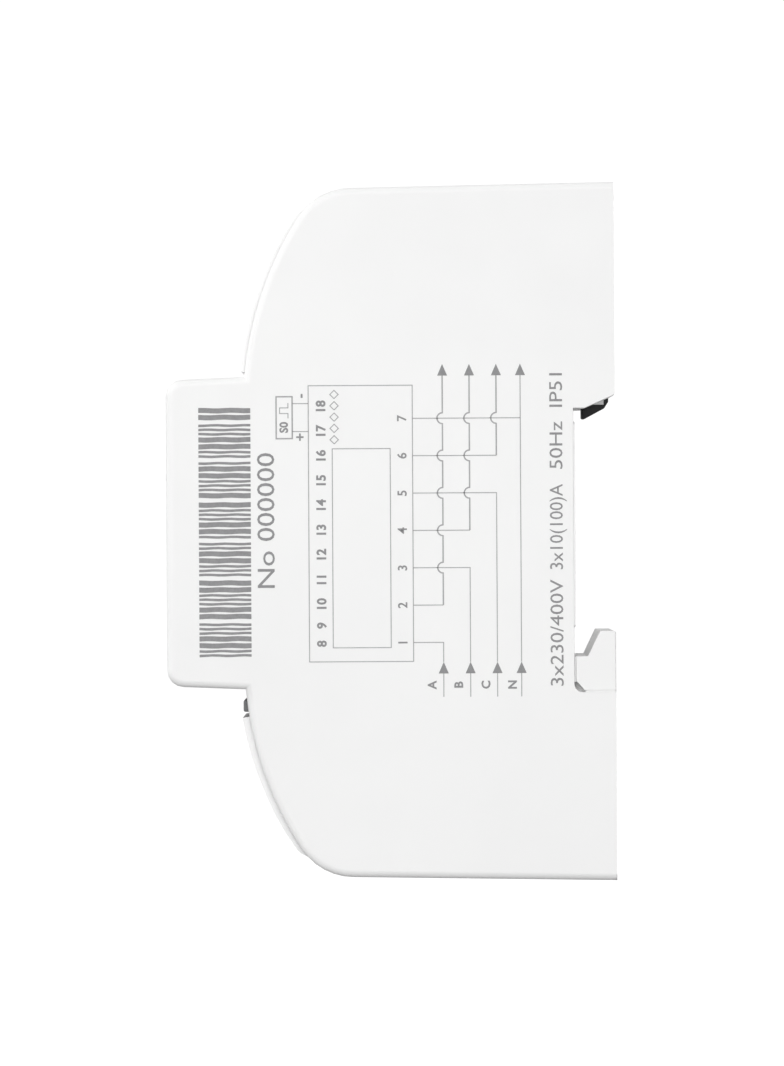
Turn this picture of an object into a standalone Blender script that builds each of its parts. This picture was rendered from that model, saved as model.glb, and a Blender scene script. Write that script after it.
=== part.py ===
"""Three-phase electricity meter for a 35 mm rail: an assembly of separate solids.

Frame: origin in the middle of the rail seat, X across the meter, the front faces -Y, +Z up.
Outlines are lists of (depth, height) in millimetres. Depth is measured forward from the rail seat,
so y = -depth, and the back of the meter has a negative depth.
Where the upper and lower ends match, an outline is drawn for the upper end and mirrored.
"""

import math

import bmesh
import bpy
from mathutils import Matrix, Vector

MM = 0.001
GAP = 0.3

# Overall size
WIDTH = 122.0
HALF_WIDTH = WIDTH / 2
BACK_DEPTH = -5.7
FRONT_DEPTH = 58.6
BACK_HALF_HEIGHT = 50.0
WALL = 2.0
SIDE_INNER = HALF_WIDTH - WALL
INSERT_HALF = SIDE_INNER - GAP

# Side profile: end walls with draft, round corners, bowed shoulders, raised front block
CORNER_CENTRE = (32.0, 40.45)
CORNER_RADIUS = 8.9
SHOULDER_CENTRE = (-4.0, 17.6)
SHOULDER_RADIUS = 51.6
SHOULDER_START, SHOULDER_END = 5.3, 32.3
BLOCK_ROOT_HALF = 22.3
BLOCK_FRONT_HALF = 22.0
BLOCK_CORNER = 2.4
BLOCK_WALL_BACK = 30.0

# Rail channel, for a rail 35 mm high and 1 mm thick
CHANNEL_FLOOR = 0.3
CHANNEL_TOP = 17.7
CHANNEL_BOTTOM = -23.05
CHANNEL_RADIUS = 1.15
SEAT_LAND = (-13.5, 15.5)
SEAT_RELIEF = 0.25
HOOK_GROOVE = -17.9
HOOK_TIP = -14.3
HOOK_HALF = HALF_WIDTH - 0.4
HOOK_LIP, HOOK_ROOT = (-3.44, HOOK_TIP), (-1.7, HOOK_GROOVE)
HOOK_END_INNER = 50.0
BASE_END = 47.6
PLATE_BACK, PLATE_FRONT = BACK_DEPTH, -3.4
FLOOR_FRONT = 2.0

# Latch that slides up out of the rail's way
LATCH_HALF, LATCH_FLANGE = 12.0, 13.6
LATCH_FACE, LATCH_STEP, LATCH_BACK = -1.2, -2.8, -5.1
LATCH_NOSE, LATCH_TOP = 16.3, 44.6
LATCH_WINDOW = (24.0, 38.0)
LATCH_SLOT = (41.0, 43.0)
TRAY_HALF = 15.5
TRAY_FRONT = 1.1
SPRING_POST = (35.0, 37.0)
SPRING_DEPTH = -3.0
SPRING_RADIUS = 1.45
SPRING_WIRE = 0.3
SPRING_TURNS = 6
SPRING_POST_HALF, SPRING_POST_DEPTH = 1.9, (-4.6, 0.0)
SPRING_WINDOW_HALF, TOOL_SLOT_HALF = 2.3, 4.0
SLOT_Z = (14.0, 50.0)
NOTCH_HALF, NOTCH_FRONT = 7.0, -2.2

# Terminal decks under the covers
DECK_BACK, DECK_FRONT = 33.8, 35.8
DECK_START = 22.9
BLOCK_BACK_WALL = (29.5, 32.0)
BLOCK_END = 47.0
CATCH_RIB = (23.9, 25.6)
CATCH_FRONT = 47.7
DECK_SEAL_HOLE = 2.6
END_CUT = (45.0, 53.0)

# Main terminals 1 to 7, screws from the front, cables from below
MAIN_COUNT, MAIN_FIRST, MAIN_PITCH = 7, -52.2, 16.5
MAIN_HEIGHT = -38.0
MAIN_X = [MAIN_FIRST + MAIN_PITCH * i for i in range(MAIN_COUNT)]
CAGE_HALF, CAGE_WALL = 5.2, 1.2
CAGE_Z = (-43.5, -33.0)
CAGE_DEPTH = (8.3, 24.5)
CAGE_FLOOR, CAGE_HEAD = 1.5, 2.2
CHAMBER_HALF = CAGE_HALF + GAP
CHAMBER_BACK = 7.8
BAR_HALF = 3.2
BAR_DEPTH = (19.4, 21.8)
CABLE_DEPTH = 14.6
CABLE_RADIUS = 4.3
MAIN_SHANK, MAIN_HEAD = 2.4, 3.4
MAIN_SCREW = (22.1, 31.0, 33.5)
MAIN_SLOT = (0.6, 1.3)
MAIN_BACK = 6.0
DRIVER_RADIUS = 3.0
BAR_Z, BAR_BRIDGE = (-43.0, -12.0), -18.0
RING_OUTER, RING_BORE, RING_Z = 7.1, 4.1, (-29.2, -22.2)

# Auxiliary terminals 8 to 18, screws from the front, wires from above
AUX_COUNT, AUX_FIRST, AUX_PITCH = 11, -53.0, 10.5
AUX_HEIGHT = 40.0
AUX_X = [AUX_FIRST + AUX_PITCH * i for i in range(AUX_COUNT)]
AUX_BACK = 18.0
AUX_WIRE_DEPTH = 25.0
AUX_WIRE_RADIUS, AUX_WIRE_END = 1.75, 35.5
WIRE_ENTRY = 2.0
AUX_SHANK, AUX_HEAD = 1.15, 1.9
AUX_SCREW = (27.2, 31.2, 33.2)
AUX_SLOT = (0.35, 0.8)
AUX_WELL, AUX_THREAD = 2.3, 1.35

# Hinged terminal covers
HINGE = (37.9, 44.8)
KNUCKLE, KNUCKLE_ROOM = 1.55, 2.1
PIN_RADIUS, PIN_HOLE, PIN_LENGTH = 1.0, 1.25, 1.2
PIN_HOLE_X = (57.0, 60.3)
COVER_HALF = SIDE_INNER - 0.4
COVER_WALL = 1.8
COVER_LAST_ANGLE = 42.0
COVER_GAP_ANGLE = 51.0
FLANGE_WALL = 1.6
FLANGE_DEPTH = 36.4
UPPER_COVER = {"edge": 23.1, "proud": 0.5}
LOWER_COVER = {"edge": 26.3, "proud": 1.0}
SEAL_X, SEAL_HEIGHT = 50.0, 31.0
SEAL_BOSS, SEAL_BORE, SEAL_RECESS = 3.9, 1.8, 2.9
SEAL_BOSS_TOP = 44.0
SEAL_SHANK, SEAL_HEAD, SEAL_HOLE = 1.4, 2.6, 0.55
SEAL_SCREW = (34.3, 41.6, 44.2)
SEAL_WIRE_SLOT = (5.6, 0.6)

# Window, label and light pipe on the front block
FRONT_CUT = (50.0, 62.0)
WINDOW_X, WINDOW_Z = (-54.8, 33.2), (-12.4, 11.55)
WINDOW_DEPTH = (55.0, FRONT_DEPTH - 0.15)
WINDOW_RIM_X, WINDOW_RIM_Z = (1.6, 1.0), 1.9
WINDOW_RIM_DEPTH = (54.9, FRONT_DEPTH - WALL - GAP)
LED_COUNT, LED_FIRST, LED_PITCH, LED_Z = 5, 37.1, 4.97, 11.0
LED_X = [LED_FIRST + LED_PITCH * i for i in range(LED_COUNT)]
LED_HALF_DIAGONAL = 1.4
PIPE_X, PIPE_DEPTH, PIPE_Z = (35.6, 58.4), (53.6, FRONT_DEPTH - WALL - GAP), (9.0, 13.0)
LABEL_X, LABEL_Z, LABEL_DEEP = (34.9, 59.2), (-12.7, 15.0), 0.4

# Screws that hold the base to the housing
CASE_X, CASE_Z = 54.8, 26.8
CASE_BOSS = (24.4, 29.2)
CASE_BOSS_BACK, CASE_BOSS_FRONT = -0.4, 12.0
BOSS_INNER = 51.5
CASE_SCREW, CASE_SHANK, CASE_HEAD = (9.5, -3.2, -5.2), 1.4, 2.6
PILOT, SCREW_HOLE = 1.6, 1.75
SCREW_SEAT, SEAT_DEPTH = 2.9, -3.0
SUPPORT_X, SUPPORT_Z = (51.2, 58.4), (22.0, 30.6)

# Supports for the circuit boards; a base post is a height and the depth of its foot
BOARD_POST_X, BOARD_POST_Z, BOARD_POST_BACK = 54.0, 16.9, 45.9
DISPLAY_POST = 1.5
BASE_POST_X, BASE_POST_FRONT, BASE_POST_RADIUS = 46.0, 11.7, 2.2
BASE_POSTS = ((-6.0, 1.0), (22.0, -4.3))

# Boards, display and large components: material, then x, depth and z ranges
INNER_PIECES = {
    "display_board": ("board", (-57.5, 57.5), (44.0, 45.6), (-18.8, 18.8)),
    "lcd_backlight": ("diffuser", (-51.5, 29.9), (46.0, 49.7), (-11.2, 10.4)),
    "lcd_panel": ("glass", (-51.5, 29.9), (50.0, 52.6), (-11.2, 10.4)),
    "measuring_board": ("board", (-50.8, 50.8), (12.0, 13.6), (-10.0, 26.0)),
    "riser_board": ("board", (40.0, 41.6), (13.9, 43.7), (-6.0, 14.0)),
    "supply_capacitor": ("component", (-40.0, -22.0), (13.9, 25.0), (4.0, 19.0)),
    "supply_transformer": ("component", (-16.0, 4.0), (13.9, 30.0), (4.0, 21.0)),
    "measuring_chip": ("component", (12.0, 19.0), (13.9, 15.2), (6.0, 13.0)),
    "pulse_coupler": ("component", (28.0, 33.0), (13.9, 16.4), (14.0, 20.0)),
}

CORNERS = [(side, end) for side in (-1, 1) for end in (-1, 1)]
MAIN_SIDES, SMALL_SIDES = 16, 10


def on_circle(centre, radius, degrees):
    """A point in the (depth, height) plane, at an angle from the front."""
    angle = math.radians(degrees)
    return (centre[0] + radius * math.cos(angle), centre[1] + radius * math.sin(angle))


def arc(centre, radius, start, end, steps):
    return [on_circle(centre, radius, start + (end - start) * i / steps) for i in range(steps + 1)]


def swap(sign, limits):
    """The same range on one side of the middle (sign 1) or on the other (sign -1)."""
    low, high = limits
    return (low, high) if sign > 0 else (-high, -low)


def grown(limits, by):
    return (limits[0] - by, limits[1] + by)


def mirrored(outline):
    """The same outline at the lower end."""
    return [(depth, -height) for depth, height in reversed(outline)]


# Solid builders: each returns a function that adds one closed shell to a bmesh.


def prism(outline, x_low, x_high):
    """An outline in the (depth, height) plane, extruded across the meter."""

    def add(mesh):
        rings = [[mesh.verts.new((x, -d, z)) for d, z in outline] for x in (x_low, x_high)]
        mesh.faces.new(rings[0])
        mesh.faces.new(reversed(rings[1]))
        for i, _ in enumerate(outline):
            j = (i + 1) % len(outline)
            mesh.faces.new((rings[0][i], rings[1][i], rings[1][j], rings[0][j]))

    return add


def plate(outline, depth_low, depth_high):
    """An outline in the (x, height) plane, extruded along the depth."""

    def add(mesh):
        rings = [[mesh.verts.new((x, -d, z)) for x, z in outline] for d in (depth_low, depth_high)]
        mesh.faces.new(rings[0])
        mesh.faces.new(reversed(rings[1]))
        for i, _ in enumerate(outline):
            j = (i + 1) % len(outline)
            mesh.faces.new((rings[0][i], rings[1][i], rings[1][j], rings[0][j]))

    return add


def box(x, depth, z):
    """A block between two values each of x, depth and height."""
    return plate([(x[0], z[0]), (x[1], z[0]), (x[1], z[1]), (x[0], z[1])], *depth)


def turned(along, centre, stations, sides):
    """A turned solid: stations are (place, radius) along X, Y (as depth) or Z, around centre's other two."""

    def point(place, radius, angle):
        u, v = radius * math.cos(angle), radius * math.sin(angle)
        if along == "X":
            return (place, -(centre[0] + u), centre[1] + v)
        if along == "Y":
            return (centre[0] + u, -place, centre[1] + v)
        return (centre[0] + u, -(centre[1] + v), place)

    def add(mesh):
        turn = [2 * math.pi * (i + 0.5) / sides for i in range(sides)]
        rings = [[mesh.verts.new(point(at, r, a)) for a in turn] for at, r in stations]
        mesh.faces.new(rings[0])
        mesh.faces.new(reversed(rings[-1]))
        for low, high in zip(rings, rings[1:]):
            for i in range(sides):
                j = (i + 1) % sides
                mesh.faces.new((low[i], high[i], high[j], low[j]))

    return add


def shape(name, *solids, origin=(0, 0, 0)):
    """An object made of these shells, with its own origin at a point in millimetres."""
    mesh = bmesh.new()
    for add in solids:
        add(mesh)
    bmesh.ops.recalc_face_normals(mesh, faces=mesh.faces)
    into_place = Matrix.Scale(MM, 4) @ Matrix.Translation(-Vector(origin))
    bmesh.ops.transform(mesh, matrix=into_place, verts=mesh.verts)
    data = bpy.data.meshes.new(name)
    mesh.to_mesh(data)
    mesh.free()
    data.shade_smooth()
    data.set_sharp_from_angle(angle=math.radians(35))
    made = bpy.data.objects.new(name, data)
    made.location = Vector(origin) * MM
    bpy.context.scene.collection.objects.link(made)
    return made


def combine(target, operation, label, *solids):
    """A Boolean on target, with a helper object that isn't part of the model."""
    helper = shape(f"{target.name}.{label}", *solids)
    helper.hide_render = True
    helper.display_type = "WIRE"
    modifier = target.modifiers.new(label, "BOOLEAN")
    modifier.operation = operation
    modifier.solver = "EXACT"
    modifier.object = helper
    return target


def cut(target, label, *solids):
    return combine(target, "DIFFERENCE", label, *solids)


def join(target, label, *solids):
    return combine(target, "UNION", label, *solids)


def material(name, colour, roughness, metallic=0.0):
    made = bpy.data.materials.new(name)
    made.use_nodes = True
    shader = made.node_tree.nodes["Principled BSDF"]
    shader.inputs["Base Color"].default_value = (*colour, 1.0)
    shader.inputs["Roughness"].default_value = roughness
    shader.inputs["Metallic"].default_value = metallic
    return made


def finish(piece, finish_material, body):
    piece.data.materials.append(finish_material)
    piece.parent = body
    return piece


# Outlines


def shoulder(start, end, outward, steps=8):
    return arc(SHOULDER_CENTRE, SHOULDER_RADIUS + outward, start, end, steps)


def corner(start, end, outward, steps=6):
    return arc(CORNER_CENTRE, CORNER_RADIUS + outward, start, end, steps)


def side_outline():
    """The meter's side profile, with the notch for the rail."""
    block_corner = (FRONT_DEPTH - BLOCK_CORNER, BLOCK_FRONT_HALF - BLOCK_CORNER)
    upper = [
        *arc(block_corner, BLOCK_CORNER, 0, 90, 4),
        *shoulder(SHOULDER_START, SHOULDER_END, 0),
        *corner(SHOULDER_END, 90, 0)[1:],
        (BACK_DEPTH, BACK_HALF_HEIGHT),
    ]
    notch = [
        (BACK_DEPTH, CHANNEL_TOP + 2.0),
        (BACK_DEPTH + 0.45, CHANNEL_TOP + 1.7),
        (-1.4, CHANNEL_TOP),
        (CHANNEL_FLOOR, CHANNEL_TOP),
        *arc((CHANNEL_FLOOR - CHANNEL_RADIUS, CHANNEL_BOTTOM + CHANNEL_RADIUS), CHANNEL_RADIUS, 0, -90, 3),
        (BACK_DEPTH, CHANNEL_BOTTOM),
    ]
    return upper + notch + mirrored(upper)


def cavity_outline():
    """Inside of the housing: open at the back and at both shoulders, between the side walls."""
    end_wall = [
        (BACK_DEPTH - 2.0, BACK_HALF_HEIGHT - WALL),
        *corner(90, COVER_GAP_ANGLE, -WALL, 4),
        on_circle(CORNER_CENTRE, CORNER_RADIUS + 6.0, COVER_GAP_ANGLE + 14),
        (FRONT_DEPTH, 44.0),
        (FRONT_DEPTH - 5.0, BLOCK_ROOT_HALF + GAP),
        (BLOCK_WALL_BACK, BLOCK_ROOT_HALF + GAP),
        (BLOCK_WALL_BACK, BLOCK_FRONT_HALF - WALL),
        (FRONT_DEPTH - WALL, BLOCK_FRONT_HALF - WALL - 0.2),
    ]
    return end_wall + mirrored(end_wall)


def base_outline():
    """Section of the rear base: two back plates, the rail channel and the fixed lower hook."""
    return [
        (PLATE_BACK, -BASE_END),
        (PLATE_BACK, CHANNEL_BOTTOM + GAP),
        (PLATE_BACK, HOOK_TIP),
        HOOK_LIP,
        HOOK_ROOT,
        (SEAT_RELIEF, HOOK_GROOVE),
        (SEAT_RELIEF, SEAT_LAND[0] - 0.3),
        (0.0, SEAT_LAND[0]),
        (0.0, SEAT_LAND[1]),
        (SEAT_RELIEF, SEAT_LAND[1] + 0.3),
        (SEAT_RELIEF, CHANNEL_TOP),
        (-1.4, CHANNEL_TOP),
        (PLATE_BACK, CHANNEL_TOP + 1.8),
        (PLATE_BACK, BASE_END),
        (PLATE_FRONT, BASE_END),
        (PLATE_FRONT, CHANNEL_TOP + 3.2),
        (FLOOR_FRONT, CHANNEL_TOP + 2.0),
        (FLOOR_FRONT, CHANNEL_BOTTOM),
        (PLATE_FRONT, CHANNEL_BOTTOM - 1.6),
        (PLATE_FRONT, -BASE_END),
    ]


def latch_outline():
    """Section of the latch through its nose, flange left out."""
    return [
        (LATCH_FACE, LATCH_NOSE),
        (LATCH_FACE - 0.4, LATCH_NOSE - 0.1),
        (-4.5, 17.75),
        (LATCH_BACK, 18.7),
        (LATCH_BACK, LATCH_TOP),
        (LATCH_FACE, LATCH_TOP),
    ]


def edge_angle(cover):
    return math.degrees(math.asin((cover["edge"] - SHOULDER_CENTRE[1]) / SHOULDER_RADIUS))


def cover_face(cover):
    """A cover's outer face: proud of the side walls at its free edge, flush with them at its hinge."""
    first = edge_angle(cover)
    along_shoulder = [first + (SHOULDER_END - first) * i / 7 for i in range(7)]
    round_corner = [SHOULDER_END, (SHOULDER_END + COVER_LAST_ANGLE) / 2, COVER_LAST_ANGLE]
    points = []
    for angle in along_shoulder + round_corner:
        stand = cover["proud"] * (1 - ((angle - first) / (COVER_LAST_ANGLE - first)) ** 3)
        on_corner = angle in round_corner
        centre, radius = (CORNER_CENTRE, CORNER_RADIUS) if on_corner else (SHOULDER_CENTRE, SHOULDER_RADIUS)
        points.append(on_circle(centre, radius + stand, angle))
    return points


def skin_outline(cover):
    """A cover's section between its side walls."""
    under_corner = corner(COVER_LAST_ANGLE, SHOULDER_END, -COVER_WALL, 1)
    under_shoulder = shoulder(SHOULDER_END, edge_angle(cover), -COVER_WALL, 6)[1:]
    return cover_face(cover) + under_corner + under_shoulder


def flange_outline(cover):
    """A cover's side wall: from its outer face down to just above the terminal deck."""
    at_hinge = [(HINGE[0], HINGE[1] + 1.0), (FLANGE_DEPTH, HINGE[1] - 1.0)]
    return cover_face(cover) + at_hinge + [(FLANGE_DEPTH, cover["edge"])]


def deck_outline(back):
    """A terminal block's section, with its deck running on to the front block."""
    return [
        (back, BLOCK_BACK_WALL[0]),
        (DECK_BACK, BLOCK_BACK_WALL[0]),
        (DECK_BACK, DECK_START),
        (DECK_FRONT, DECK_START),
        (DECK_FRONT, 44.2),
        (33.0, BLOCK_END),
        (back, BLOCK_END),
    ]


def diamond(x, z, half):
    return [(x - half, z), (x, z - half), (x + half, z), (x, z + half)]


# Pieces


def make_housing():
    housing = shape("housing", prism(side_outline(), -HALF_WIDTH, HALF_WIDTH))
    cut(housing, "cavity", prism(cavity_outline(), -SIDE_INNER, SIDE_INNER))
    boss_x, boss_depth = (BOSS_INNER, HALF_WIDTH - 1.0), (CASE_BOSS_BACK, CASE_BOSS_FRONT)
    bosses = [box(swap(side, boss_x), boss_depth, swap(end, CASE_BOSS)) for side, end in CORNERS]
    join(housing, "screw_bosses", *bosses)
    post = [(BOARD_POST_BACK, DISPLAY_POST), (FRONT_DEPTH - 1.0, DISPLAY_POST)]
    posts = [turned("Y", (side * BOARD_POST_X, end * BOARD_POST_Z), post, 8) for side, end in CORNERS]
    join(housing, "display_posts", *posts)
    window = box(grown(WINDOW_X, GAP), FRONT_CUT, grown(WINDOW_Z, GAP))
    lenses = [plate(diamond(x, LED_Z, LED_HALF_DIAGONAL + 0.35), *FRONT_CUT) for x in LED_X]
    cut(housing, "front_openings", window, *lenses)
    cut(housing, "label_recess", box(LABEL_X, (FRONT_DEPTH - LABEL_DEEP, FRONT_CUT[1]), LABEL_Z))
    pilot = [(BACK_DEPTH, PILOT), (CASE_BOSS_FRONT - 2.0, PILOT)]
    pilots = [turned("Y", (side * CASE_X, end * CASE_Z), pilot, SMALL_SIDES) for side, end in CORNERS]
    pin_holes = []
    knuckle_room = []
    for end in (-1, 1):
        hinge_at = (HINGE[0], end * HINGE[1])
        for side in (-1, 1):
            pin_holes.append(turned("X", hinge_at, [(side * x, PIN_HOLE) for x in PIN_HOLE_X], 12))
        room_half = SIDE_INNER - 0.05
        room = [(-room_half, KNUCKLE_ROOM), (room_half, KNUCKLE_ROOM)]
        knuckle_room.append(turned("X", hinge_at, room, 16))
    cut(housing, "screw_and_pin_holes", *pilots, *pin_holes)
    cut(housing, "knuckle_room", *knuckle_room)
    cable = [(-z, CABLE_RADIUS) for z in reversed(END_CUT)]
    wire = [(z, WIRE_ENTRY) for z in END_CUT]
    cables = [turned("Z", (x, CABLE_DEPTH), cable, MAIN_SIDES) for x in MAIN_X]
    wires = [turned("Z", (x, AUX_WIRE_DEPTH), wire, SMALL_SIDES) for x in AUX_X]
    cut(housing, "cable_entries", *cables, *wires)
    notch_depth, notch_z = (BACK_DEPTH - 1.0, NOTCH_FRONT), (END_CUT[0] + 1.0, END_CUT[1])
    return cut(housing, "latch_notch", box((-NOTCH_HALF, NOTCH_HALF), notch_depth, notch_z))


def make_rear_base():
    base = shape("rear_base", prism(base_outline(), -INSERT_HALF, INSERT_HALF))
    hook = [
        (PLATE_BACK, CHANNEL_BOTTOM + GAP),
        (PLATE_BACK, HOOK_TIP),
        HOOK_LIP,
        HOOK_ROOT,
        (0.0, HOOK_GROOVE),
        (0.0, CHANNEL_BOTTOM + 1.6),
        (-1.2, CHANNEL_BOTTOM + GAP),
    ]
    join(base, "hook_ends", *[prism(hook, *swap(side, (HOOK_END_INNER, HOOK_HALF))) for side in (-1, 1)])
    foot = PLATE_FRONT - 1.0
    support_depth = (foot, CASE_BOSS_BACK - GAP)
    supports = [box(swap(side, SUPPORT_X), support_depth, swap(end, SUPPORT_Z)) for side, end in CORNERS]
    tray = box((-TRAY_HALF, TRAY_HALF), (foot, TRAY_FRONT), (CHANNEL_TOP + 0.6, BASE_END - 0.6))
    join(base, "supports", *supports, tray)
    posts = []
    for z, post_foot in BASE_POSTS:
        stations = [(post_foot, BASE_POST_RADIUS), (BASE_POST_FRONT, BASE_POST_RADIUS)]
        posts += [turned("Y", (side * BASE_POST_X, z), stations, 8) for side in (-1, 1)]
    join(base, "board_posts", *posts)
    slide, flange = LATCH_HALF + GAP, LATCH_FLANGE + GAP
    cut(base, "latch_slot", box((-slide, slide), (BACK_DEPTH - 1.3, LATCH_STEP), SLOT_Z))
    cut(base, "flange_slot", box((-flange, flange), (LATCH_STEP - GAP, LATCH_FACE + GAP), SLOT_Z))
    post_x = (-SPRING_POST_HALF, SPRING_POST_HALF)
    join(base, "spring_post", box(post_x, SPRING_POST_DEPTH, SPRING_POST))
    seat = [
        (BACK_DEPTH - 1.3, SCREW_SEAT),
        (SEAT_DEPTH, SCREW_SEAT),
        (SEAT_DEPTH, SCREW_HOLE),
        (1.0, SCREW_HOLE),
    ]
    seats = [turned("Y", (side * CASE_X, end * CASE_Z), seat, 12) for side, end in CORNERS]
    cut(base, "screw_seats", *seats)
    return base


def make_latch():
    origin = (0, -LATCH_FACE, LATCH_NOSE)
    latch = shape("din_latch", prism(latch_outline(), -LATCH_HALF, LATCH_HALF), origin=origin)
    flange_z = (LATCH_NOSE + 4.2, LATCH_TOP - 0.1)
    join(latch, "flange", box((-LATCH_FLANGE, LATCH_FLANGE), (LATCH_STEP, LATCH_FACE - 0.1), flange_z))
    through = (BACK_DEPTH - 2.3, 3.0)
    window = box((-SPRING_WINDOW_HALF, SPRING_WINDOW_HALF), through, LATCH_WINDOW)
    tool_slot = box((-TOOL_SLOT_HALF, TOOL_SLOT_HALF), through, LATCH_SLOT)
    return cut(latch, "window_and_slot", window, tool_slot)


def make_spring():
    """A coil between the latch's window and the base's post, along Z."""
    low, high = LATCH_WINDOW[0] + 0.5, SPRING_POST[0] - 0.5
    steps = SPRING_TURNS * 12
    curve = bpy.data.curves.new("latch_spring", "CURVE")
    curve.dimensions = "3D"
    curve.bevel_depth = SPRING_WIRE * MM
    curve.bevel_resolution = 0
    curve.use_fill_caps = True
    spline = curve.splines.new("POLY")
    spline.points.add(steps)
    for i, point in enumerate(spline.points):
        angle = 2 * math.pi * SPRING_TURNS * i / steps
        x, depth = SPRING_RADIUS * math.cos(angle), SPRING_DEPTH + SPRING_RADIUS * math.sin(angle)
        z = low + (high - low) * i / steps
        point.co = (x * MM, -depth * MM, z * MM, 1.0)
    spring = bpy.data.objects.new("latch_spring", curve)
    bpy.context.scene.collection.objects.link(spring)
    return spring


def make_cover(name, cover, end):
    """A hinged cover at the upper end (end 1) or the lower end (end -1)."""

    def at_end(outline):
        return outline if end > 0 else mirrored(outline)

    hinge_at = (HINGE[0], end * HINGE[1])
    origin = (0, -HINGE[0], end * HINGE[1])
    made = shape(name, prism(at_end(skin_outline(cover)), -COVER_HALF, COVER_HALF), origin=origin)
    wall_x = (COVER_HALF - FLANGE_WALL, COVER_HALF - 0.05)
    wall = at_end(flange_outline(cover))
    join(made, "end_walls", *[prism(wall, *swap(side, wall_x)) for side in (-1, 1)])
    knuckle_half = COVER_HALF - 0.1
    join(made, "knuckle", turned("X", hinge_at, [(-knuckle_half, KNUCKLE), (knuckle_half, KNUCKLE)], 14))
    pin_x = (COVER_HALF - 3.0, COVER_HALF + PIN_LENGTH)
    pins = [turned("X", hinge_at, [(side * x, PIN_RADIUS) for x in pin_x], 12) for side in (-1, 1)]
    join(made, "pins", *pins)
    places = [(side * SEAL_X, end * SEAL_HEIGHT) for side in (-1, 1)]
    boss = [(DECK_FRONT + GAP, SEAL_BOSS), (SEAL_BOSS_TOP, SEAL_BOSS)]
    join(made, "seal_bosses", *[turned("Y", at, boss, 14) for at in places])
    seat = SEAL_SCREW[1] - 0.2
    bore = [(30.0, SEAL_BORE), (seat, SEAL_BORE), (seat, SEAL_RECESS), (FRONT_DEPTH, SEAL_RECESS)]
    cut(made, "seal_bores", *[turned("Y", at, bore, 14) for at in places])
    half_long, half_wide = SEAL_WIRE_SLOT
    slots = []
    for x, z in places:
        slot_x, slot_z = (x - half_long, x + half_long), (z - half_wide, z + half_wide)
        slots.append(box(slot_x, (SEAL_SCREW[1] + 0.8, FRONT_DEPTH), slot_z))
    return cut(made, "seal_wire_slots", *slots)


def make_seal_screw(name, side, end):
    """A screw with a cross hole in its head for the sealing wire."""
    tip, neck, top = SEAL_SCREW
    at = (side * SEAL_X, end * SEAL_HEIGHT)
    shank = [(tip, 1.0), (tip + 0.6, SEAL_SHANK), (neck, SEAL_SHANK)]
    head = [(neck, SEAL_HEAD), (top - 0.4, SEAL_HEAD), (top, SEAL_HEAD - 0.4)]
    screw = shape(name, turned("Y", at, shank + head, 12), origin=(at[0], -top, at[1]))
    across = (at[0] - SEAL_HEAD - 1.0, at[0] + SEAL_HEAD + 1.0)
    cut(screw, "seal_hole", turned("X", (neck + 1.1, at[1]), [(x, SEAL_HOLE) for x in across], 6))
    return cut(screw, "drive", box(across, (top - 0.9, top + 1.0), (at[1] - 0.5, at[1] + 0.5)))


def make_main_block():
    block = shape("main_terminal_block", prism(mirrored(deck_outline(MAIN_BACK)), -INSERT_HALF, INSERT_HALF))
    chamber_z = (-END_CUT[1], -BLOCK_BACK_WALL[1])
    chamber_depth = (CHAMBER_BACK, DECK_BACK)
    chambers = [box((x - CHAMBER_HALF, x + CHAMBER_HALF), chamber_depth, chamber_z) for x in MAIN_X]
    cut(block, "chambers", *chambers)
    through_deck = [(30.0, DRIVER_RADIUS), (40.0, DRIVER_RADIUS)]
    driver = [turned("Y", (x, MAIN_HEIGHT), through_deck, MAIN_SIDES) for x in MAIN_X]
    bar_room = grown(BAR_DEPTH, GAP)
    bars = [box((x - BAR_HALF - GAP, x + BAR_HALF + GAP), bar_room, (-36.0, -25.0)) for x in MAIN_X]
    cut(block, "holes", *driver, *bars, *seal_holes(-1))
    rib_x = (-INSERT_HALF, INSERT_HALF)
    join(block, "catch_rib", box(rib_x, (DECK_BACK + 0.5, CATCH_FRONT), swap(-1, CATCH_RIB)))
    return block


def make_aux_block():
    block = shape("aux_terminal_block", prism(deck_outline(AUX_BACK), -INSERT_HALF, INSERT_HALF))
    seat = AUX_SCREW[1] - 0.2
    well = [(AUX_WIRE_DEPTH, AUX_THREAD), (seat, AUX_THREAD), (seat, AUX_WELL), (40.0, AUX_WELL)]
    cut(block, "wells", *[turned("Y", (x, AUX_HEIGHT), well, SMALL_SIDES) for x in AUX_X])
    wire = [(AUX_WIRE_END, AUX_WIRE_RADIUS), (50.0, AUX_WIRE_RADIUS)]
    cut(block, "wire_holes", *[turned("Z", (x, AUX_WIRE_DEPTH), wire, SMALL_SIDES) for x in AUX_X])
    return cut(block, "seal_holes", *seal_holes(1))


def seal_holes(end):
    """Holes in a terminal deck for the tips of the sealing screws."""
    stations = [(DECK_BACK + 0.2, DECK_SEAL_HOLE), (40.0, DECK_SEAL_HOLE)]
    return [turned("Y", (side * SEAL_X, end * SEAL_HEIGHT), stations, SMALL_SIDES) for side in (-1, 1)]


def make_cage(number, x):
    """The clamp of a main terminal: a frame around the bar's tongue, threaded for the screw."""
    back, front = CAGE_DEPTH
    outer = box((x - CAGE_HALF, x + CAGE_HALF), CAGE_DEPTH, CAGE_Z)
    cage = shape(f"main_cage_{number}", outer, origin=(x, -back, MAIN_HEIGHT))
    inner = CAGE_HALF - CAGE_WALL
    room = box((x - inner, x + inner), (back + CAGE_FLOOR, front - CAGE_HEAD), grown(CAGE_Z, 5.0))
    cut(cage, "wire_room", room)
    thread = [(front - 5.0, MAIN_SHANK + 0.25), (front + 3.0, MAIN_SHANK + 0.25)]
    return cut(cage, "thread", turned("Y", (x, MAIN_HEIGHT), thread, 12))


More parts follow.
